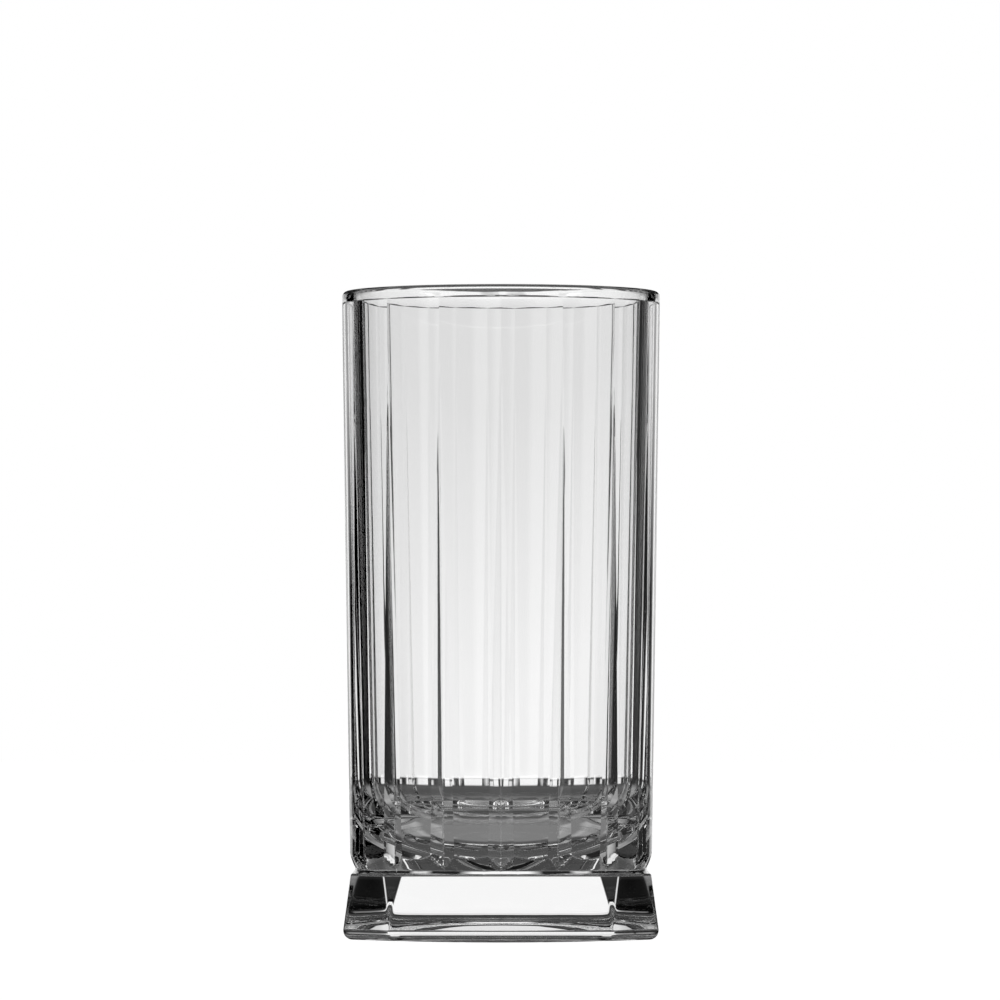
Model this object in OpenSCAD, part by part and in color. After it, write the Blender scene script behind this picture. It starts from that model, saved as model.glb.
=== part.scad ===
// Highball glass in clear pressed glass, millimetres, +Z up.
// A round lip runs into a tall bowl with sixteen flat panels. Each edge between
// two panels is cut by a shallow V groove that starts at a point just below the
// lip and widens from there to the base. The wall grows thicker towards a dished
// floor, and the bowl curves in to a short round neck. It stands there on a heavy,
// solid square foot with cut corners.
// The origin is the centre of the ring on which the glass stands.

/* [Overall] */
// Height from the resting ring to the rim
glass_h = 150; // [125:1:180]
// Outside diameter of the round lip
lip_d = 73.8; // [66:0.2:86]
// How much narrower the bowl is over its panel edges at the base than at the lip
bowl_taper = 2.8; // [1:0.1:8]

/* [Lip] */
// Height of the plain round band above the panels
lip_band_h = 2.7; // [1.5:0.1:5]
// Rounding of the rim's outer edge
lip_round_out = 1.1; // [0.4:0.05:1.5]
// Rounding of the rim's inner edge
lip_round_in = 1; // [0.4:0.05:1.5]

/* [Wall] */
// Thickness of the wall at the rim
rim_wall = 2.5; // [1.8:0.1:6]
// Thickness of the wall just above the rounding of the floor
floor_wall = 4.7; // [3:0.1:8]
// Glass between the neck's seat on the foot and the middle of the floor
floor_h = 4.5; // [3:0.5:20]
// Large rounding where the inside wall runs into the floor
floor_round = 17; // [8:0.5:19]
// Slope of the dished floor where it meets that rounding
floor_slope = 18; // [6:1:30]

/* [Panels] */
// Number of flat panels round the bowl
panel_count = 16; // [12:1:20]
// Depth of each panel at its middle, under the round band
panel_cut = 0.5; // [0.3:0.02:0.8]

/* [Grooves] */
// Distance from the rim to the points of the grooves
groove_drop = 11; // [6:1:90]
// Depth of the grooves below the panel edges, at the base of the bowl
groove_depth = 1.3; // [0.7:0.05:1.6]
// Angle between the two walls of a groove
groove_opening = 154; // [140:1:160]

/* [Neck] */
// How far the neck lies inside the panel edges
neck_step = 1.65; // [1:0.05:2.5]
// Height of the upright part of the neck
neck_h = 0.9; // [0.5:0.1:2]
// Radius of the curve that draws the bowl in to the neck
neck_round = 14; // [8:0.5:18]

/* [Foot] */
// Height of the foot up to the seat of the bowl
foot_h = 15.5; // [12:0.5:20]
// How far the foot's widest line lies inside the outside of the lip
foot_inset = 0.8; // [0:0.1:1.2]
// Lean of the four cut corners
corner_lean = 7.1; // [4:0.1:10]
// Length of side that each corner cut takes off at the bottom
corner_cut = 10.8; // [7:0.1:13]
// Lean of the long pointed facets beside each corner cut
facet_lean = 13.2; // [11:0.1:16]
// Height of the points of those facets
facet_point_h = 4.9; // [3:0.1:7]
// Rounding of the foot's upper edge
foot_round_top = 0.5; // [0.3:0.1:1.6]
// Rounding of the foot's lower edge
foot_round_low = 2.8; // [1:0.1:3.5]
// Ledge left between the neck and the rounded upper edge
foot_ledge = 0.1; // [0.1:0.05:1]

/* [Underside] */
// How far the resting ring stands out below the square foot
ring_h = 0.4; // [0.2:0.1:0.8]
// Radial width of the resting ring
ring_w = 4.5; // [3:0.5:8]
// Margin between the ring and the flat underside's edge
ring_margin = 1.3; // [0.8:0.1:4]
// Depth of the hollow inside the ring, at its middle
hollow_depth = 1.4; // [0.8:0.1:2.5]

/* [Hidden] */
// Clear glass with a faint cool tint
glass_colour = [0.87, 0.91, 0.91];
glass_alpha = 0.55;
// Straight steps in a quarter turn of each rounding
round_steps = 6;
// Most of the rim's thickness that one rounding may take
round_share = 0.46;
// How far every tapered prism and cut runs past what it shapes
overrun = 2;
// Thickness of the slices that the foot's outline is stretched over
slice = 0.01;
// Facets beside the corner cuts lie halfway between a side and a corner
side_turns = 4;
corner_turn = 180 / side_turns;
facet_turn = corner_turn / 2;

lip_r = lip_d / 2;
lip_out = min(lip_round_out, rim_wall * round_share);
lip_in = min(lip_round_in, rim_wall * round_share);
base_r = (lip_d - bowl_taper) / 2;
neck_r = base_r - neck_step;
panel_turn = 360 / panel_count;
floor_z = foot_h + floor_h;
band_z = glass_h - lip_band_h;
tip_z = glass_h - groove_drop;

// Curve from the neck out to the panel edges
neck_angle = acos((neck_round - neck_step) / neck_round);
curve_z = foot_h + neck_h + neck_round * sin(neck_angle);

// Half the foot's width over its sides, at the seat of the bowl and at its widest,
// where the rounding of the lower edge starts
foot_top_half = neck_r + foot_ledge + foot_round_top;
foot_wide_half = lip_r - foot_inset;
foot_wide_z = ring_h + foot_round_low;
side_slope = (foot_wide_half - foot_top_half) / (foot_h - foot_wide_z);
// Distance of the corner cuts from the axis, level with the standing surface
corner_half = (2 * side_r(0) - corner_cut) / sqrt(2);
ring_r = foot_wide_half - foot_round_low - ring_margin;
hollow_r = ring_r - ring_w;

// Radius over the panel edges at height z, a straight taper up to the round band
function edge_r(z) =
    base_r + (lip_r - base_r) * (z - curve_z) / (band_z - curve_z);

// Distance of the panels from the axis at height z
function panel_r(z) = edge_r(z) - panel_cut;

// Distance of the bottoms of the grooves from the axis at height z
function groove_r(z) = edge_r(z) - groove_depth * (tip_z - z) / (tip_z - curve_z);

// Distances of the foot's sides, corner cuts and facets from the axis at height z
function side_r(z) = foot_wide_half - (z - foot_wide_z) * side_slope;
function corner_r(z) = corner_half - z * tan(corner_lean);

// Where the side and corner planes meet at the facets' points
function facet_point() =
    let (side = side_r(facet_point_h), corner = corner_r(facet_point_h))
    [side, (corner - side * cos(corner_turn)) / sin(corner_turn)];
function facet_r(z) =
    facet_point() * [cos(facet_turn), sin(facet_turn)]
        - (z - facet_point_h) * tan(facet_lean);

// Points along an arc about a centre, from one angle to another
function arc(centre, r, from, to) =
    let (steps = ceil(round_steps * abs(to - from) / 90))
    [for (i = [0:steps])
        let (a = from + (to - from) * i / steps)
        centre + r * [cos(a), sin(a)]];

// Outline of the bowl from the axis out, over the lip and down to the floor
module bowl_profile() {
    wall_top_r = lip_r - rim_wall;
    wall_low_r = base_r - floor_wall;
    dish_r = wall_low_r - floor_round * (1 - sin(floor_slope));
    dish_ball = dish_r / sin(floor_slope);
    wall_low_z = floor_z + dish_ball * (1 - cos(floor_slope)) + floor_round * cos(floor_slope);
    polygon(concat(
        [[0, foot_h], [neck_r, foot_h]],
        arc([base_r - neck_round, curve_z], neck_round, -neck_angle, 0),
        [[lip_r, band_z]],
        arc([lip_r - lip_out, glass_h - lip_out], lip_out, 0, 90),
        arc([wall_top_r + lip_in, glass_h - lip_in], lip_in, 90, 180),
        arc([wall_low_r - floor_round, wall_low_z], floor_round, 0, floor_slope - 90),
        arc([0, floor_z + dish_ball], dish_ball, floor_slope - 90, -90)
    ));
}

// Tapered prism with one flat side for each panel. Its sides lie low_r from the
// axis at the bottom and top_r at the top.
module flats(low_z, low_r, top_z, top_r) {
    corner_reach = low_r / cos(panel_turn / 2);
    translate([0, 0, low_z])
        linear_extrude(height = top_z - low_z, scale = top_r / low_r)
            polygon([
                for (i = [0:panel_count - 1])
                    corner_reach * [cos(i * panel_turn), sin(i * panel_turn)]
            ]);
}

// Tapered star with one notch for each groove. The bottoms of the notches lie
// low_r from the axis at the bottom and top_r at the top, and its points stand
// clear of the panels.
module notches(low_z, low_r, top_z, top_r) {
    wall_turn = groove_opening / 2;
    point_reach = low_r * sin(wall_turn) / sin(wall_turn - panel_turn / 2);
    translate([0, 0, low_z])
        linear_extrude(height = top_z - low_z, scale = top_r / low_r)
            polygon([
                for (i = [0:2 * panel_count - 1])
                    let (a = i * panel_turn / 2, reach = i % 2 == 0 ? low_r : point_reach)
                    reach * [cos(a), sin(a)]
            ]);
}

// Flat sides of the bowl, a shelf that slopes out above them, and the round band
module panels() {
    low_z = foot_h - overrun;
    shelf_z = band_z - panel_cut;
    flats(low_z, panel_r(low_z), shelf_z, panel_r(shelf_z));
    flats(shelf_z, panel_r(shelf_z), band_z, lip_r);
    translate([0, 0, band_z])
        cylinder(h = lip_band_h + overrun, r = lip_r + overrun);
}

// Grooves along the edges between the panels, deeper and wider towards the base
module grooves() {
    low_z = foot_h - overrun;
    top_z = glass_h + overrun;
    notches(low_z, groove_r(low_z), top_z, groove_r(top_z));
}

// Bowl with a groove at the front
module bowl() {
    color(glass_colour, glass_alpha)
        intersection() {
            rotate_extrude() bowl_profile();
            rotate(-90) panels();
            rotate(-90) grooves();
        }
}

// Outline of the foot at height z, drawn in by a margin
module foot_outline(z, margin) {
    intersection() {
        square(2 * (side_r(z) - margin), center = true);
        rotate(corner_turn) square(2 * (corner_r(z) - margin), center = true);
        intersection_for(turn = [-facet_turn, facet_turn])
            rotate(turn) square(2 * (facet_r(z) - margin), center = true);
    }
}

// Thin slices up the foot, closer together over its rounded edges
module foot_slice(z, margin) {
    translate([0, 0, z]) linear_extrude(height = slice) foot_outline(z, margin);
}

// Solid block of the foot, stretched over its slices
module foot_block() {
    top_z = foot_h - foot_round_top;
    hull() {
        for (p = arc([0, 0], 1, -90, 0))
            foot_slice(foot_wide_z + foot_round_low * p.y, foot_round_low * (1 - p.x));
        foot_slice(facet_point_h, 0);
        for (p = arc([0, 0], 1, 0, 90))
            foot_slice(top_z - slice + foot_round_top * p.y, foot_round_top * (1 - p.x));
    }
}

// Resting ring, standing out below the block
module ring() {
    cylinder(h = ring_h + overrun, r = ring_r);
}

// Shallow hollow inside the ring, a slice of a large ball
module hollow() {
    ball_r = (hollow_r * hollow_r + hollow_depth * hollow_depth) / (2 * hollow_depth);
    rotate_extrude()
        polygon(concat(
            [[0, -overrun], [hollow_r, -overrun]],
            arc([0, hollow_depth - ball_r], ball_r, 90 - asin(hollow_r / ball_r), 90)
        ));
}

// Square foot with cut corners, on its ring
module foot() {
    color(glass_colour, glass_alpha)
        difference() {
            union() {
                foot_block();
                ring();
            }
            hollow();
        }
}

bowl();
foot();
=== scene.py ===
"""Highball glass in clear pressed glass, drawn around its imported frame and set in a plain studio."""

import math

import bpy
from bpy.props import FloatProperty, FloatVectorProperty, PointerProperty
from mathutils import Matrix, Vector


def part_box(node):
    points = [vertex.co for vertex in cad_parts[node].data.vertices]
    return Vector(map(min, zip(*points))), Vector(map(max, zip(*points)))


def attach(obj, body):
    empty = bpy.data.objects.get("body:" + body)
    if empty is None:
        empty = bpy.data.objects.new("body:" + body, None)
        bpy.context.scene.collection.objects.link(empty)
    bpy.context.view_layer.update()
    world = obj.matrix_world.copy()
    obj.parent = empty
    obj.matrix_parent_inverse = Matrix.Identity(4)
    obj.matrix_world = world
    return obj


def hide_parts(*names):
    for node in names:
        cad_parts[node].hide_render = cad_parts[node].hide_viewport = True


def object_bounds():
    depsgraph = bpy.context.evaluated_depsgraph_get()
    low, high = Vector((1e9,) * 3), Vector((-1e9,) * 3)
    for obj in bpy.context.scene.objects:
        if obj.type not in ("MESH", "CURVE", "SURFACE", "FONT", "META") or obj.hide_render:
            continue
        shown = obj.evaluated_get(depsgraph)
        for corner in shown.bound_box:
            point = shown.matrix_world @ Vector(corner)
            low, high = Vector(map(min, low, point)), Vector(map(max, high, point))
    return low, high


bl_info = {
    "name": "Highball Glass",
    "version": (1, 0, 0),
    "blender": (4, 5, 0),
    "location": "3D View > Sidebar > Glass",
    "description": "Draws a pressed highball glass with cut panels on a square foot, and its studio",
    "category": "Object",
}

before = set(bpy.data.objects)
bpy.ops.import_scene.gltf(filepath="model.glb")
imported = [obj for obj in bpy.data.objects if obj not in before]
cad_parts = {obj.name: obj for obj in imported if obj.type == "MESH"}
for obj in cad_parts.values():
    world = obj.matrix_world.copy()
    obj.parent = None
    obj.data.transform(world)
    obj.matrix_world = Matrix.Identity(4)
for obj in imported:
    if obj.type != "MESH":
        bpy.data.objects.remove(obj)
CAD_BOX = [list(corner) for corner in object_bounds()]
GLASS_HEIGHT = CAD_BOX[1][2]
LIP_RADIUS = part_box("bowl")[1][0]
FOOT_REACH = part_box("foot")[1][0]
FOOT_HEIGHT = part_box("foot")[1][2]

MM = 0.001
PANELS = 16
HALF_PANEL = math.pi / PANELS
# Turns from the middle of one of the foot's sides to the middles of its corner cut and facet
CORNER_TURN = math.pi / 4
FACET_TURN = math.pi / 8
# Edges that turn more than this stay crisp
CRISP_ANGLE = math.radians(12)


def length(name, description, default_mm, least_mm=0.0, most_mm=200.0):
    """A size that the user can change, in millimetres here and metres in Blender."""
    return FloatProperty(
        name=name, description=description, default=default_mm * MM,
        min=least_mm * MM, max=most_mm * MM, precision=5,
        subtype="DISTANCE", unit="LENGTH")


def tilt(name, description, default_degrees):
    """An angle that the user can change."""
    return FloatProperty(
        name=name, description=description, default=math.radians(default_degrees),
        min=0.0, max=math.radians(80), subtype="ANGLE", unit="ROTATION")


class GlassShape(bpy.types.PropertyGroup):
    """Sizes of the glass."""
    height: length("Height", "From the standing surface to the rim", GLASS_HEIGHT / MM)
    lip_radius: length("Lip radius", "Outside radius of the round lip", LIP_RADIUS / MM)
    base_radius: length("Base radius", "Radius over the panel edges at the base", 35.5)
    lip_band: length("Lip band", "Height of the plain round band above the panels", 2.7)
    lip_round_out: length("Outer lip rounding", "Rounding of the rim's outer edge", 1.1)
    lip_round_in: length("Inner lip rounding", "Rounding of the rim's inner edge", 1.0)
    rim_wall: length("Rim wall", "Thickness of the wall at the rim", 2.6)
    floor_wall: length("Floor wall", "Thickness of the wall just above the rounding", 4.7)
    floor_height: length("Floor height", "Height of the middle of the floor", 18.0)
    floor_round: length("Floor rounding", "Rounding between the inside wall and the floor", 17.0)
    floor_dish: tilt("Floor dish", "Slope of the dished floor where the rounding meets it", 22)
    panel_cut: length("Panel cut", "Depth of each panel's middle below its edges' circle", 0.55)
    groove_tip: length("Groove tip", "Height of the pointed upper ends of the grooves", 139.0)
    groove_half: length("Groove half width", "Half the width of a groove at the neck", 3.1)
    groove_lean: tilt("Groove lean", "Lean of a groove's walls against the panel beside it", 24.2)
    neck_radius: length("Neck radius", "Radius of the upright neck", 33.85)
    neck_height: length("Neck height", "Height of the upright part of the neck", 0.9)
    neck_round: length("Neck curve", "Radius of the curve that draws the bowl in to the neck", 14.0)
    foot_height: length("Foot height", "Height of the foot", FOOT_HEIGHT / MM)
    foot_wide: length("Foot half width", "Half the foot's width at its widest", FOOT_REACH / MM)
    foot_top: length("Foot top half width", "Half the width of the foot's sides at its top", 34.45)
    corner_cut: length("Corner cut", "Length of side that each corner cut takes off", 10.8)
    corner_lean: tilt("Corner lean", "Lean of the cut corners", 7.1)
    facet_lean: tilt("Facet lean", "Lean of the pointed facets beside the corner cuts", 13.2)
    facet_point: length("Facet point", "Height of the points of those facets", 4.9)
    foot_round_top: length("Foot top rounding", "Rounding of the foot's upper edge", 0.5)
    foot_round_low: length("Foot low rounding", "Rounding of the foot's lower edge", 2.6)
    ring_height: length("Ring height", "How far the resting ring stands out", 0.4)
    ring_radius: length("Ring radius", "Outer radius of the resting ring", 32.0)
    hollow_radius: length("Hollow radius", "Radius of the hollow inside the ring", 27.5)
    hollow_depth: length("Hollow depth", "Depth of the hollow inside the ring", 1.4)
    shelf_steep: FloatProperty(
        name="Shelf steepness", default=3.0,
        description="How far the shelf above the panels runs out for its height")
    edge_soft: length("Edge softness", "How soft the edges of the panels and grooves are", 0.004)
    foot_soft: length("Foot edge softness", "How soft the edges between the foot's faces are", 0.2)
    ripple: length("Ripple", "Height of the slow ripple that pressing leaves on the faces", 0.02)


class GlassFinish(bpy.types.PropertyGroup):
    """Looks of the glass."""
    tint: FloatVectorProperty(
        name="Tint", description="Colour of light that has passed through the surface",
        default=(0.985, 0.985, 0.985), subtype="COLOR", min=0.0, max=1.0)
    refraction: FloatProperty(
        name="Refraction", description="Index of refraction", default=1.52, min=1.3, max=2.0)


class Studio(bpy.types.PropertyGroup):
    """Camera and surroundings."""
    distance: length("Camera distance", "From the axis of the glass to the camera", 1800, 300, 9000)
    eye_height: length("Eye height", "Height of the camera", 59.0, 0, 900)
    brightness: FloatProperty(
        name="Brightness", description="Brightness of all the lit cards round the glass", default=1.0)


# Node helpers

class Field:
    """A number that varies over a mesh or a surface. Sums and products of fields add Math nodes."""

    def __init__(self, tree, socket):
        self.tree = tree
        self.socket = socket

    def math(self, operation, *others):
        """What a Math node makes of this field and the others."""
        node = self.tree.nodes.new("ShaderNodeMath")
        node.operation = operation
        for target, value in zip(node.inputs, (self,) + others):
            if isinstance(value, Field):
                self.tree.links.new(value.socket, target)
            else:
                target.default_value = value
        return Field(self.tree, node.outputs[0])

    def __add__(self, other):
        return self.math("ADD", other)

    def __sub__(self, other):
        return self.math("SUBTRACT", other)

    def __rsub__(self, other):
        return self * -1.0 + other

    def __mul__(self, other):
        return self.math("MULTIPLY", other)

    def __truediv__(self, other):
        return self.math("DIVIDE", other)

    def root(self):
        return self.math("SQRT")

    def sin(self):
        return self.math("SINE")

    def cos(self):
        return self.math("COSINE")

    def tan(self):
        return self.math("TANGENT")

    def atan2(self, other):
        return self.math("ARCTAN2", other)

    def least(self, other):
        return self.math("MINIMUM", other)

    def most(self, other):
        return self.math("MAXIMUM", other)

    def held(self, low, high):
        """Kept between two values."""
        return self.most(low).least(high)

    def mixed(self, other, share):
        """This one where share is 0, and the other where it is 1."""
        return self + (other - self) * share

    def soft_least(self, other, soft):
        """The smaller of two, with the change from one to the other rounded."""
        gap = self - other
        return (self + other - (gap * gap + soft * soft).root()) * 0.5

    def soft_most(self, other, soft):
        """The larger of two, with the change from one to the other rounded."""
        gap = self - other
        return (self + other + (gap * gap + soft * soft).root()) * 0.5


def add_node(tree, kind, **values):
    """A new node with its sockets set by name."""
    node = tree.nodes.new(kind)
    for name, value in values.items():
        node.inputs[name].default_value = value
    return node


# Columns of the blank

class Column:
    """One line of points up the glass: where it lies on a round row, on the bowl and on the foot."""

    def __init__(self, even, bowl, foot):
        self.even = even
        self.bowl_turn, self.bowl_way, self.bowl_share, self.bowl_offset = bowl
        self.foot_turn, self.foot_way, self.foot_share, self.foot_offset = foot


# Shares run from the middle of a groove, 0, over its shoulder, 1, to the middle of a panel, 2.
# An offset in millimetres sets columns close beside an edge, so that it stays crisp.
BOWL_STEPS = (
    (0, 0), (0, 0.05), (0.25, 0), (0.5, 0), (0.75, 0), (1, -0.05), (1, 0), (1, 0.05),
    (1.1, 0), (1.25, 0), (1.4, 0), (1.55, 0), (1.7, 0), (1.85, 0))
PANEL_MIDDLE = 2
# The same over an eighth of the foot: from the middle of a side, 0, over the edges of the
# pointed facet, 1 and 2, to the middle of the corner cut, 3.
BESIDE_EDGE = (-0.5, -0.25, -0.08, 0.08, 0.25, 0.5)
FOOT_STEPS = (
    [(step / 34, 0) for step in range(33)]
    + [(1, offset) for offset in BESIDE_EDGE]
    + [(1.25, 0), (1.5, 0), (1.75, 0)]
    + [(2, offset) for offset in BESIDE_EDGE]
    + [(2 + step / 8, 0) for step in range(1, 9)])
CORNER_MIDDLE = 3


def there_and_back(index, steps, end, turn):
    """Where one column lies on steps that run from a middle to an end, one turn on, and back again.

    Gives the angle of the middle that it belongs to, its way round from there, its share and its offset.
    """
    part, step = divmod(index, len(steps))
    if part % 2 == 0:
        share, offset = steps[step]
        return part * turn, 1, share, offset * MM
    share, offset = steps[-step] if step else (end, 0)
    return (part + 1) * turn, -1, share, offset * MM


def columns():
    """All columns once round the glass, in order."""
    count = 2 * PANELS * len(BOWL_STEPS)
    return [Column(2 * math.pi * index / count,
                   there_and_back(index, BOWL_STEPS, PANEL_MIDDLE, HALF_PANEL),
                   there_and_back(index, FOOT_STEPS, CORNER_MIDDLE, CORNER_TURN))
            for index in range(count)]


# Rows of the blank

# Rings of points on each stretch of the profile
FOOT_LOW_STEPS = 12
FOOT_SIDE_STEPS = 14
FOOT_TOP_STEPS = 8
NECK_STEPS = 7
CURVE_STEPS = 20
PANEL_STEPS = 54
SHELF_STEPS = 9
LIP_STEPS = 9
WALL_STEPS = 34
FLOOR_STEPS = 20
# Rings on the hollow and on the dished floor, as shares of their radius
HOLLOW_SHARES = (0.04, 0.15, 0.3, 0.45, 0.6, 0.75, 0.87, 0.95, 1.0)
DISH_SHARES = (0.88, 0.75, 0.62, 0.48, 0.35, 0.22, 0.12, 0.04)
# How far inside the resting ring's edges its first and last flat rings of points lie
RING_INSET = 0.3 * MM
# Rounded outer edge of the resting ring, as places inside its radius and above its face
RING_EDGE = ((0.08 * MM, 0.09 * MM), (0, 0.25 * MM))
# How far below the top of the foot the neck's even steps are counted from
NECK_START = 0.01 * MM
# How far the close rings on the shelf above the panels run past it on both sides
SHELF_MARGIN = 0.15 * MM


class Row:
    """One ring of points, with its height and the radius that it has where it is round.

    Where foot or bowl is 1, the rule of that form gives its radius instead, and margin is how far
    it lies inside the foot's outline. Over to_bowl and then to_even, its columns turn from their
    angles on the foot to those on the bowl, and on to even ones.
    """

    def __init__(self, reach, height, foot=0.0, bowl=0.0, margin=0.0, to_bowl=1.0, to_even=0.0):
        self.reach = reach
        self.height = height
        self.foot = foot
        self.bowl = bowl
        self.margin = margin
        self.to_bowl = to_bowl
        self.to_even = to_even


def spread(start, end, steps):
    """Even steps from start, left out, to end, taken in."""
    return [start + (end - start) * step / steps for step in range(1, steps + 1)]


def line(start, end, steps):
    """Places on a straight stretch of the profile, the first one left out."""
    return list(zip(spread(start[0], end[0], steps), spread(start[1], end[1], steps)))


def arc(reach, height, radius, start, end, steps):
    """Places on an arc in the profile round a centre, angles in degrees, the first one left out."""
    return [(reach + radius * math.cos(math.radians(angle)), height + radius * math.sin(math.radians(angle)))
            for angle in spread(start, end, steps)]


def foot_rows(shape):
    """Rows from the middle of the underside out to its edge, and up to the top of the foot."""
    ball = (shape.hollow_radius ** 2 + shape.hollow_depth ** 2) / (2 * shape.hollow_depth)
    places = []
    for share in HOLLOW_SHARES:
        reach = share * shape.hollow_radius
        places.append((reach, shape.hollow_depth - ball + math.sqrt(ball ** 2 - reach ** 2)))
    inner, outer = shape.hollow_radius, shape.ring_radius
    places += [(inner + RING_INSET, 0), ((inner + outer) / 2, 0), (outer - RING_INSET, 0)]
    places += [(outer - inside, height) for inside, height in RING_EDGE]
    places += [(outer, shape.ring_height)]
    underside = [Row(reach, height, to_bowl=0) for reach, height in places]

    # Here a place lies beside the foot's own outline, and its margin is how far inside
    wide_z = shape.ring_height + shape.foot_round_low
    top_z = shape.foot_height - shape.foot_round_top
    places = arc(-shape.foot_round_low, wide_z, shape.foot_round_low, -90, 0, FOOT_LOW_STEPS)
    places += line((0, wide_z), (0, top_z), FOOT_SIDE_STEPS)
    places += arc(-shape.foot_round_top, top_z, shape.foot_round_top, 0, 90, FOOT_TOP_STEPS)
    return underside + [Row(0, height, foot=1, margin=-beside, to_bowl=0) for beside, height in places]


def bowl_rows(shape):
    """Rows up the neck and over the panels to the shelf above them."""
    neck_top = shape.foot_height + shape.neck_height
    neck = [Row(shape.neck_radius, height, to_bowl=step / (NECK_STEPS - 1)) for step, height
            in enumerate(spread(shape.foot_height - NECK_START, neck_top, NECK_STEPS))]
    bend = math.acos(1 - (shape.base_radius - shape.neck_radius) / shape.neck_round)
    curve_z = neck_top + shape.neck_round * math.sin(bend)
    places = arc(shape.base_radius - shape.neck_round, curve_z, shape.neck_round,
                 -math.degrees(bend), 0, CURVE_STEPS)
    band_z = shape.height - shape.lip_band
    slope = (shape.lip_radius - shape.base_radius) / (band_z - curve_z)
    shelf_z = band_z - shape.panel_cut / shape.shelf_steep - SHELF_MARGIN
    heights = spread(curve_z, shelf_z, PANEL_STEPS)
    heights += spread(shelf_z, band_z + SHELF_MARGIN, SHELF_STEPS)
    places += [(shape.base_radius + slope * (height - curve_z), height) for height in heights]
    return neck + [Row(reach, height, bowl=1) for reach, height in places]


def lip_rows(shape):
    """Rows from the middle of the round band over the lip. Their columns even out on the way."""
    band_z = shape.height - shape.lip_band
    out_z = shape.height - shape.lip_round_out
    wall_top = shape.lip_radius - shape.rim_wall
    places = [(shape.lip_radius, (band_z + out_z) / 2)]
    places += arc(shape.lip_radius - shape.lip_round_out, out_z, shape.lip_round_out, 0, 90, LIP_STEPS)
    places += [(shape.lip_radius - shape.rim_wall / 2, shape.height)]
    places += arc(wall_top + shape.lip_round_in, shape.height - shape.lip_round_in,
                  shape.lip_round_in, 90, 180, LIP_STEPS)
    return [Row(reach, height, to_even=(step + 1) / len(places))
            for step, (reach, height) in enumerate(places)]


def inside_rows(shape):
    """Rows down the inside wall and over the floor. It is a shallow dish with the rounding as its rim."""
    wall_top = shape.lip_radius - shape.rim_wall
    wall_low = shape.base_radius - shape.floor_wall
    slope = shape.floor_dish
    dish = wall_low - shape.floor_round * (1 - math.sin(slope))
    low_z = shape.floor_height + dish * math.tan(slope / 2) + shape.floor_round * math.cos(slope)
    places = line((wall_top, shape.height - shape.lip_round_in), (wall_low, low_z), WALL_STEPS)
    places += arc(wall_low - shape.floor_round, low_z, shape.floor_round,
                  0, math.degrees(slope) - 90, FLOOR_STEPS)
    ball = dish / math.sin(slope)
    for share in DISH_SHARES:
        reach = dish * share
        places.append((reach, shape.floor_height + ball - math.sqrt(ball ** 2 - reach ** 2)))
    return [Row(reach, height, to_even=1) for reach, height in places]


COLUMN_NAMES = ("even", "bowl_turn", "bowl_way", "bowl_share", "bowl_offset",
                "foot_turn", "foot_way", "foot_share", "foot_offset")
ROW_NAMES = ("reach", "foot", "bowl", "margin", "to_bowl", "to_even")


def blank(shape):
    """Closed mesh of revolution whose points carry, as attributes, their places on row and column."""
    all_rows = foot_rows(shape) + bowl_rows(shape) + lip_rows(shape) + inside_rows(shape)
    all_columns = columns()
    wide = len(all_columns)
    points = [(row.reach * math.cos(column.even), row.reach * math.sin(column.even), row.height)
              for row in all_rows for column in all_columns]
    faces = []
    for low in range(len(all_rows) - 1):
        for left in range(wide):
            right = (left + 1) % wide
            faces.append((low * wide + left, low * wide + right,
                          (low + 1) * wide + right, (low + 1) * wide + left))
    bottom, top = len(points), len(points) + 1
    points += [(0, 0, shape.hollow_depth), (0, 0, shape.floor_height)]
    last = (len(all_rows) - 1) * wide
    for left in range(wide):
        right = (left + 1) % wide
        faces.append((bottom, right, left))
        faces.append((top, last + left, last + right))
    mesh = bpy.data.meshes.new("glass_blank")
    mesh.from_pydata(points, [], faces)
    at_ends = [0.0, 0.0]
    for name in COLUMN_NAMES:
        values = [getattr(column, name) for column in all_columns] * len(all_rows) + at_ends
        mesh.attributes.new(name, "FLOAT", "POINT").data.foreach_set("value", values)
    for name in ROW_NAMES:
        values = [getattr(row, name) for row in all_rows for column in all_columns] + at_ends
        mesh.attributes.new(name, "FLOAT", "POINT").data.foreach_set("value", values)
    return mesh


# Geometry nodes

TREE_SIZES = (
    "height", "lip_radius", "base_radius", "lip_band", "panel_cut", "groove_tip", "groove_half",
    "groove_lean", "neck_radius", "neck_height", "neck_round", "foot_height",
    "foot_wide", "foot_top", "corner_cut", "corner_lean", "facet_lean", "facet_point",
    "foot_round_low", "ring_height", "shelf_steep", "edge_soft", "foot_soft", "ripple")
# Seed of the ripple, its waves in a metre, and the radius from which it has its full height
RIPPLE_SEED = 7.0
RIPPLE_SCALE = 55.0
RIPPLE_RADIUS = 10 * MM
# Half width that the columns of a groove keep where it narrows to its point. Narrower than
# this the groove is shallower too.
LEAST_GROOVE = 0.5 * MM
# Half width of a groove, and width of a facet, under which the columns beside its edges close up
GROOVE_ROOM = 0.9 * MM
FACET_ROOM = 1.2 * MM
# Softness of a groove's shoulders, as a share of the softness of its bottom
SHOULDER_SHARE = 0.6


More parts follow.
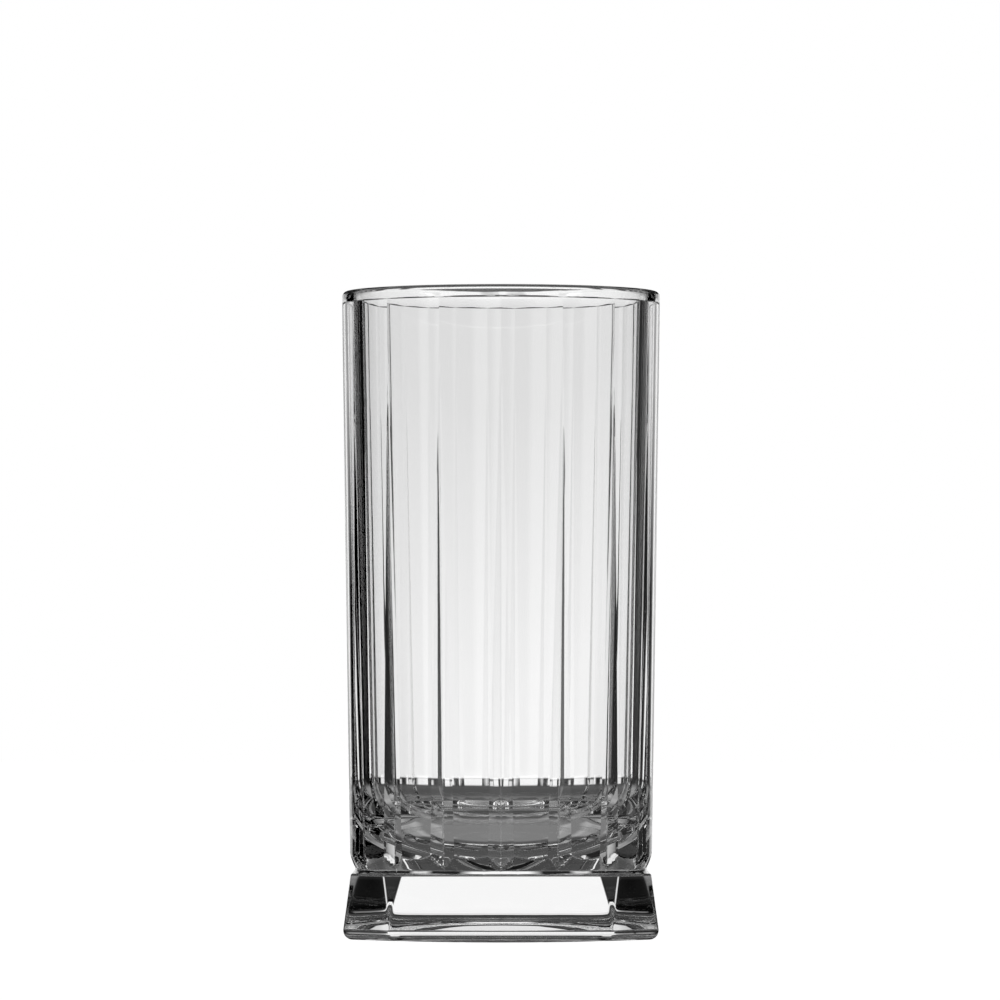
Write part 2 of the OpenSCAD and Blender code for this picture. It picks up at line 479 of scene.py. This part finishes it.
def glass_tree():
    """Geometry Nodes that cut the blank's panels, grooves and square foot from the named sizes."""
    tree = bpy.data.node_groups.new("glass_cutting", "GeometryNodeTree")
    tree.interface.new_socket("Blank", in_out="INPUT", socket_type="NodeSocketGeometry")
    for name in TREE_SIZES:
        tree.interface.new_socket(name, in_out="INPUT", socket_type="NodeSocketFloat")
    tree.interface.new_socket("Material", in_out="INPUT", socket_type="NodeSocketMaterial")
    tree.interface.new_socket("Glass", in_out="OUTPUT", socket_type="NodeSocketGeometry")
    start = tree.nodes.new("NodeGroupInput")
    end = tree.nodes.new("NodeGroupOutput")
    size = {name: Field(tree, start.outputs[name]) for name in TREE_SIZES}
    where = tree.nodes.new("ShaderNodeSeparateXYZ")
    tree.links.new(tree.nodes.new("GeometryNodeInputPosition").outputs[0], where.inputs[0])
    z = Field(tree, where.outputs["Z"])

    def kept(name):
        """What the points of the blank carry under a name."""
        node = tree.nodes.new("GeometryNodeInputNamedAttribute")
        node.data_type = "FLOAT"
        node.inputs["Name"].default_value = name
        return Field(tree, node.outputs["Attribute"])

    bowl_radius, bowl_angle = bowl_rule(size, kept, z)
    foot_radius, foot_angle = foot_rule(size, kept, z)
    reach = kept("reach")
    on_bowl = reach.soft_least(bowl_radius, size["edge_soft"])
    radius = reach.mixed(on_bowl, kept("bowl")).mixed(foot_radius, kept("foot"))
    angle = foot_angle.mixed(bowl_angle, kept("to_bowl")).mixed(kept("even"), kept("to_even"))

    wave = add_node(tree, "ShaderNodeTexNoise", Scale=RIPPLE_SCALE, Detail=1.0)
    wave.noise_dimensions = "4D"
    wave.inputs["W"].default_value = RIPPLE_SEED
    ripple = (Field(tree, wave.outputs[0]) - 0.5) * size["ripple"]
    moved = radius + ripple * (radius / RIPPLE_RADIUS).held(0.0, 1.0)

    place = tree.nodes.new("ShaderNodeCombineXYZ")
    tree.links.new((moved * angle.cos()).socket, place.inputs["X"])
    tree.links.new((moved * angle.sin()).socket, place.inputs["Y"])
    tree.links.new(z.socket, place.inputs["Z"])
    put = tree.nodes.new("GeometryNodeSetPosition")
    smooth = tree.nodes.new("GeometryNodeSetShadeSmooth")
    real = tree.nodes.new("GeometryNodeRealizeInstances")
    dress = tree.nodes.new("GeometryNodeSetMaterial")
    tree.links.new(start.outputs["Blank"], put.inputs["Geometry"])
    tree.links.new(place.outputs[0], put.inputs["Position"])
    tree.links.new(put.outputs["Geometry"], smooth.inputs[0])
    tree.links.new(smooth.outputs[0], real.inputs[0])
    tree.links.new(real.outputs[0], dress.inputs["Geometry"])
    tree.links.new(start.outputs["Material"], dress.inputs["Material"])
    tree.links.new(dress.outputs[0], end.inputs["Glass"])
    return tree


def bowl_rule(size, kept, z):
    """Radius and angle on the panels and grooves of the bowl."""
    soft = size["edge_soft"]
    neck_top = size["foot_height"] + size["neck_height"]
    drawn_in = size["base_radius"] - size["neck_radius"]
    curve_z = neck_top + (size["neck_round"] * drawn_in * 2 - drawn_in * drawn_in).root()
    band_z = size["height"] - size["lip_band"]
    rise = (z - curve_z) / (band_z - curve_z)
    edge = size["base_radius"] + (size["lip_radius"] - size["base_radius"]) * rise
    # A panel is a shallow parabola, from its middle out to the chord between its edges
    half_width = edge * math.sin(HALF_PANEL)
    chord = edge * math.cos(HALF_PANEL)
    middle = edge - size["panel_cut"]
    below = ((size["groove_tip"] - z) / (size["groove_tip"] - neck_top)).most(0.0)
    groove = below * size["groove_half"]
    room = groove.most(LEAST_GROOVE)
    share = kept("bowl_share")
    beside = kept("bowl_offset") * (room / GROOVE_ROOM).least(1.0)
    away = room * share.least(1.0) + (half_width - room) * (share - 1.0).most(0.0) + beside
    y = half_width - away
    aside = y / half_width
    panel = middle + (chord - middle) * aside * aside
    # The groove's bottom is slightly round, and so are its shoulders
    from_bottom = (away * away + soft * soft).root()
    sunk = (groove - from_bottom).soft_most(0.0, soft * SHOULDER_SHARE)
    x = panel - sunk * size["groove_lean"].tan() * (groove / LEAST_GROOVE).least(1.0)
    shelf_z = band_z - size["panel_cut"] / size["shelf_steep"]
    shelf = ((z - shelf_z) * size["shelf_steep"]).soft_most(0.0, soft)
    radius = (x * x + y * y).root() + shelf
    return radius, kept("bowl_turn") + kept("bowl_way") * (HALF_PANEL - y.atan2(x))


def foot_rule(size, kept, z):
    """Radius and angle on the sides, pointed facets and corner cuts of the foot."""
    soft = size["foot_soft"]
    wide_z = size["ring_height"] + size["foot_round_low"]
    slope = (size["foot_wide"] - size["foot_top"]) / (size["foot_height"] - wide_z)
    margin = kept("margin")

    def side_at(height):
        """Distance of the sides from the axis."""
        return size["foot_wide"] - (height - wide_z) * slope

    corner_zero = (side_at(0.0) * 2.0 - size["corner_cut"]) / math.sqrt(2)

    def corner_at(height):
        """Distance of the corner cuts from the axis."""
        return corner_zero - height * size["corner_lean"].tan()

    # A facet's plane goes through the point where the side and the corner cut meet
    point = size["facet_point"]
    side_there, corner_there = side_at(point), corner_at(point)
    across = (corner_there - side_there * math.cos(CORNER_TURN)) / math.sin(CORNER_TURN)
    facet_there = side_there * math.cos(FACET_TURN) + across * math.sin(FACET_TURN)
    side = side_at(z) - margin
    corner = corner_at(z) - margin
    facet = facet_there - (z - point) * size["facet_lean"].tan() - margin

    def meet(near, far, turn):
        """Angle, from the nearer plane's middle, at which two planes meet."""
        return ((far - near * math.cos(turn)) / math.sin(turn)).atan2(near)

    plain = meet(side, corner, CORNER_TURN)
    first = meet(side, facet, FACET_TURN).least(plain)
    second = (meet(facet, corner, FACET_TURN) + FACET_TURN).most(plain)
    share = kept("foot_share")
    on_facet = share.held(1.0, 2.0) - 1.0
    on_corner = (share - 2.0).most(0.0)
    turn = (first * share.least(1.0) + (second - first) * on_facet
            + (CORNER_TURN - second) * on_corner)
    # Offsets that point into the facet shrink where the facet narrows
    beside = kept("foot_offset") / side
    room = ((second - first) * side / FACET_ROOM).least(1.0)
    outward = ((on_facet * 2.0 - 1.0) * beside).math("GREATER_THAN", 0.0)
    turn = turn + beside * room.mixed(1.0, outward)
    radius = (side / turn.cos()).soft_least(facet / (turn - FACET_TURN).cos(), soft)
    radius = radius.soft_least(corner / (turn - CORNER_TURN).cos(), soft)
    return radius, kept("foot_turn") + kept("foot_way") * turn


def baked(context, name, source, tree, values, material):
    """Runs a tree on a blank mesh and gives the result as a plain object at the origin."""
    helper = bpy.data.objects.new(name + "_blank", source)
    context.scene.collection.objects.link(helper)
    modifier = helper.modifiers.new("cutting", "NODES")
    modifier.node_group = tree
    sockets = {item.name: item.identifier for item in tree.interface.items_tree
               if item.item_type == "SOCKET" and item.in_out == "INPUT"}
    for key, value in values.items():
        modifier[sockets[key]] = value
    modifier[sockets["Material"]] = material
    depsgraph = context.evaluated_depsgraph_get()
    result = bpy.data.meshes.new_from_object(helper.evaluated_get(depsgraph), depsgraph=depsgraph)
    bpy.data.objects.remove(helper)
    for spent in [layer.name for layer in result.attributes if layer.data_type == "FLOAT"]:
        result.attributes.remove(result.attributes[spent])
    result.name = name
    result.set_sharp_from_angle(angle=CRISP_ANGLE)
    piece = bpy.data.objects.new(name, result)
    context.scene.collection.objects.link(piece)
    return piece


# Materials

# White of the floor's paint, and the glow with which the floor comes out just white to the camera
FLOOR_PAINT = 0.8
FLOOR_GLOW = 0.97


def glass_material(finish):
    """Clear pressed glass: polished, with a faint orange peel from the mould."""
    material = bpy.data.materials.new("glass")
    material.use_nodes = True
    tree = material.node_tree
    shader = tree.nodes["Principled BSDF"]
    shader.inputs["Base Color"].default_value = (*finish.tint, 1)
    shader.inputs["Transmission Weight"].default_value = 1.0
    shader.inputs["Roughness"].default_value = 0.0
    shader.inputs["IOR"].default_value = finish.refraction
    coords = tree.nodes.new("ShaderNodeTexCoord")
    peel = add_node(tree, "ShaderNodeTexNoise", Scale=140.0, Detail=2.0, Roughness=0.4)
    bump = add_node(tree, "ShaderNodeBump", Strength=0.02, Distance=0.4 * MM)
    tree.links.new(coords.outputs["Object"], peel.inputs["Vector"])
    tree.links.new(peel.outputs[0], bump.inputs["Height"])
    tree.links.new(bump.outputs[0], shader.inputs["Normal"])
    return material


def floor_material():
    """White paint that glows to the camera, and lets every other ray through."""
    material = bpy.data.materials.new("floor")
    material.use_nodes = True
    tree = material.node_tree
    tree.nodes.remove(tree.nodes["Principled BSDF"])
    paint = add_node(tree, "ShaderNodeBsdfDiffuse", Color=(FLOOR_PAINT, FLOOR_PAINT, FLOOR_PAINT, 1))
    glow = add_node(tree, "ShaderNodeEmission", Color=(1, 1, 1, 1), Strength=FLOOR_GLOW)
    both = tree.nodes.new("ShaderNodeAddShader")
    tree.links.new(paint.outputs[0], both.inputs[0])
    tree.links.new(glow.outputs[0], both.inputs[1])
    clear = tree.nodes.new("ShaderNodeBsdfTransparent")
    shown_to_camera(tree, both, clear, tree.nodes["Material Output"])
    return material


def shown_to_camera(tree, shown, other, output):
    """Sends one shader to the camera and the other to every other ray."""
    path = tree.nodes.new("ShaderNodeLightPath")
    mix = tree.nodes.new("ShaderNodeMixShader")
    tree.links.new(path.outputs["Is Camera Ray"], mix.inputs[0])
    tree.links.new(other.outputs[0], mix.inputs[1])
    tree.links.new(shown.outputs[0], mix.inputs[2])
    tree.links.new(mix.outputs[0], output.inputs["Surface"])


# Surroundings

class Card:
    """A lit patch of the surroundings, seen from the glass: angles in degrees, round from straight
    behind the glass and up from level. Its edges fade over an angle of their own."""

    def __init__(self, middle, half_width, low, high, fade, light):
        self.middle = middle
        self.half_width = half_width
        self.low = low
        self.high = high
        self.fade = fade
        self.light = light


# What no card covers is black, and cards that overlap add up
CARDS = (
    # Lit panel behind the glass, narrower near its foot, with a brighter right half
    Card(0, 25.5, 1.2, 6.5, 1.5, 0.82),
    Card(0, 21, -4, 1.2, 1.5, 0.83),
    Card(0, 21, -4, -0.2, 2, 0.14),
    Card(13, 12.5, -3, 5, 3, 0.07),
    # Foot of the panel, and a lit strip on each side of it
    Card(0, 7, -14, -4, 3, 1.02),
    Card(18, 2.5, -14, -6, 2, 0.8),
    Card(-18, 2.5, -14, -6, 2, 0.8),
    # Floor in front of the glass, and the dim wall behind the camera
    Card(180, 65, -15, -4, 4, 1.1),
    Card(180, 100, -25, 4, 6, 0.35),
    # Dim light from both sides
    Card(66, 8, -4, 13, 4, 0.3),
    Card(-66, 10, 3, 13, 4, 0.15),
    # Ceiling and the faint light below it
    Card(0, 180, 75, 100, 10, 0.45),
    Card(0, 180, 12, 80, 8, 0.06),
    # Floor right under the glass, the dimmer floor round it, and light on it from both sides
    Card(0, 180, -100, -40, 10, 0.2),
    Card(0, 180, -42, -14, 8, 0.07),
    Card(50, 25, -45, -17, 8, 0.25),
    Card(-50, 25, -45, -17, 8, 0.25))


def card_light(tree, direction):
    """Light of all the cards together, over the directions round the glass."""
    parts = tree.nodes.new("ShaderNodeSeparateXYZ")
    tree.links.new(direction, parts.inputs[0])
    x, y, z = (Field(tree, parts.outputs[axis]) for axis in "XYZ")
    azimuth = x.atan2(y) * math.degrees(1)
    rise = z.math("ARCSINE") * math.degrees(1)
    light = z * 0.0
    for card in CARDS:
        aside = (azimuth - card.middle).math("WRAP", 180.0, -180.0).math("ABSOLUTE")
        across = ((card.half_width - aside) / card.fade + 0.5).held(0.0, 1.0)
        under = ((card.high - rise) / card.fade + 0.5).held(0.0, 1.0)
        over = ((rise - card.low) / card.fade + 0.5).held(0.0, 1.0)
        light = light + across * under * over * card.light
    return light


# Stage

# Half the width of the floor, in metres
FLOOR_HALF = 4.0
# Width and height of the picture in pixels, and the metres that one of them covers at the
# axis of the glass
PICTURE = 1000
PIXEL = 0.2322 * MM
# Column of the glass's axis in the picture, and row of the standing surface there
AXIS_COLUMN = 500.97
FLOOR_ROW = 938.0
# Width of the camera's sensor, in millimetres as its lens is
SENSOR = 36.0


# Operators

class GLASS_OT_draw(bpy.types.Operator):
    """Draws the glass as one seamless piece of pressed glass"""
    bl_idname = "glass.draw"
    bl_label = "Draw Glass"

    def execute(self, context):
        shape = context.scene.glass_shape
        material = glass_material(context.scene.glass_finish)
        values = {name: getattr(shape, name) for name in TREE_SIZES}
        piece = baked(context, "pressed_glass", blank(shape), glass_tree(), values, material)
        if not piece.data.polygons:
            raise RuntimeError("the glass came out empty")
        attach(piece, "root")
        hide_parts("bowl", "foot")
        return {"FINISHED"}


class GLASS_OT_studio(bpy.types.Operator):
    """Sets the floor, the surroundings and the camera"""
    bl_idname = "glass.studio"
    bl_label = "Set Studio"

    def execute(self, context):
        studio = context.scene.glass_studio
        self.floor(context)
        self.surroundings(context, studio)
        self.camera(context, studio)
        context.scene.view_settings.view_transform = "Standard"
        return {"FINISHED"}

    def floor(self, context):
        mesh = bpy.data.meshes.new("floor")
        corners = ((-1, -1), (1, -1), (1, 1), (-1, 1))
        mesh.from_pydata([(x * FLOOR_HALF, y * FLOOR_HALF, 0) for x, y in corners], [], [(0, 1, 2, 3)])
        mesh.materials.append(floor_material())
        floor = bpy.data.objects.new("floor", mesh)
        context.scene.collection.objects.link(floor)

    def surroundings(self, context, studio):
        """White for the camera, and the lit cards for every other ray"""
        world = bpy.data.worlds.new("studio")
        context.scene.world = world
        world.use_nodes = True
        tree = world.node_tree
        around = tree.nodes["Background"]
        coords = tree.nodes.new("ShaderNodeTexCoord")
        light = card_light(tree, coords.outputs["Generated"]) * studio.brightness
        tree.links.new(light.socket, around.inputs["Color"])
        white = add_node(tree, "ShaderNodeBackground", Color=(1, 1, 1, 1), Strength=1.0)
        shown_to_camera(tree, white, around, tree.nodes["World Output"])

    def camera(self, context, studio):
        data = bpy.data.cameras.new("camera")
        camera = bpy.data.objects.new("camera", data)
        context.scene.collection.objects.link(camera)
        context.scene.camera = camera
        camera.location = (0, -studio.distance, studio.eye_height)
        # Tilted up so far that the standing surface comes to lie on its row
        below_middle = (FLOOR_ROW - PICTURE / 2) * PIXEL
        tilt_up = math.atan(below_middle / studio.distance) - math.atan(studio.eye_height / studio.distance)
        camera.rotation_euler = (math.pi / 2 + tilt_up, 0, 0)
        data.sensor_fit = "HORIZONTAL"
        data.sensor_width = SENSOR
        data.lens = SENSOR * studio.distance / (PICTURE * PIXEL)
        data.shift_x = (PICTURE / 2 - AXIS_COLUMN) / PICTURE


class GLASS_PT_sidebar(bpy.types.Panel):
    """Lists the steps and sizes in the 3D view's sidebar"""
    bl_label = "Highball Glass"
    bl_idname = "GLASS_PT_sidebar"
    bl_space_type = "VIEW_3D"
    bl_region_type = "UI"
    bl_category = "Glass"

    def draw(self, context):
        for operator in (GLASS_OT_draw, GLASS_OT_studio):
            self.layout.operator(operator.bl_idname)
        for group in (context.scene.glass_shape, context.scene.glass_finish, context.scene.glass_studio):
            box = self.layout.box()
            for name in group.bl_rna.properties.keys():
                if name not in ("rna_type", "name"):
                    box.prop(group, name)


CLASSES = (GlassShape, GlassFinish, Studio, GLASS_OT_draw, GLASS_OT_studio, GLASS_PT_sidebar)


def register():
    for cls in CLASSES:
        bpy.utils.register_class(cls)
    bpy.types.Scene.glass_shape = PointerProperty(type=GlassShape)
    bpy.types.Scene.glass_finish = PointerProperty(type=GlassFinish)
    bpy.types.Scene.glass_studio = PointerProperty(type=Studio)


def unregister():
    for name in ("glass_studio", "glass_finish", "glass_shape"):
        delattr(bpy.types.Scene, name)
    for cls in reversed(CLASSES):
        bpy.utils.unregister_class(cls)


def main():
    register()
    bpy.ops.glass.draw()
    bpy.ops.glass.studio()


if __name__ == "__main__":
    main()
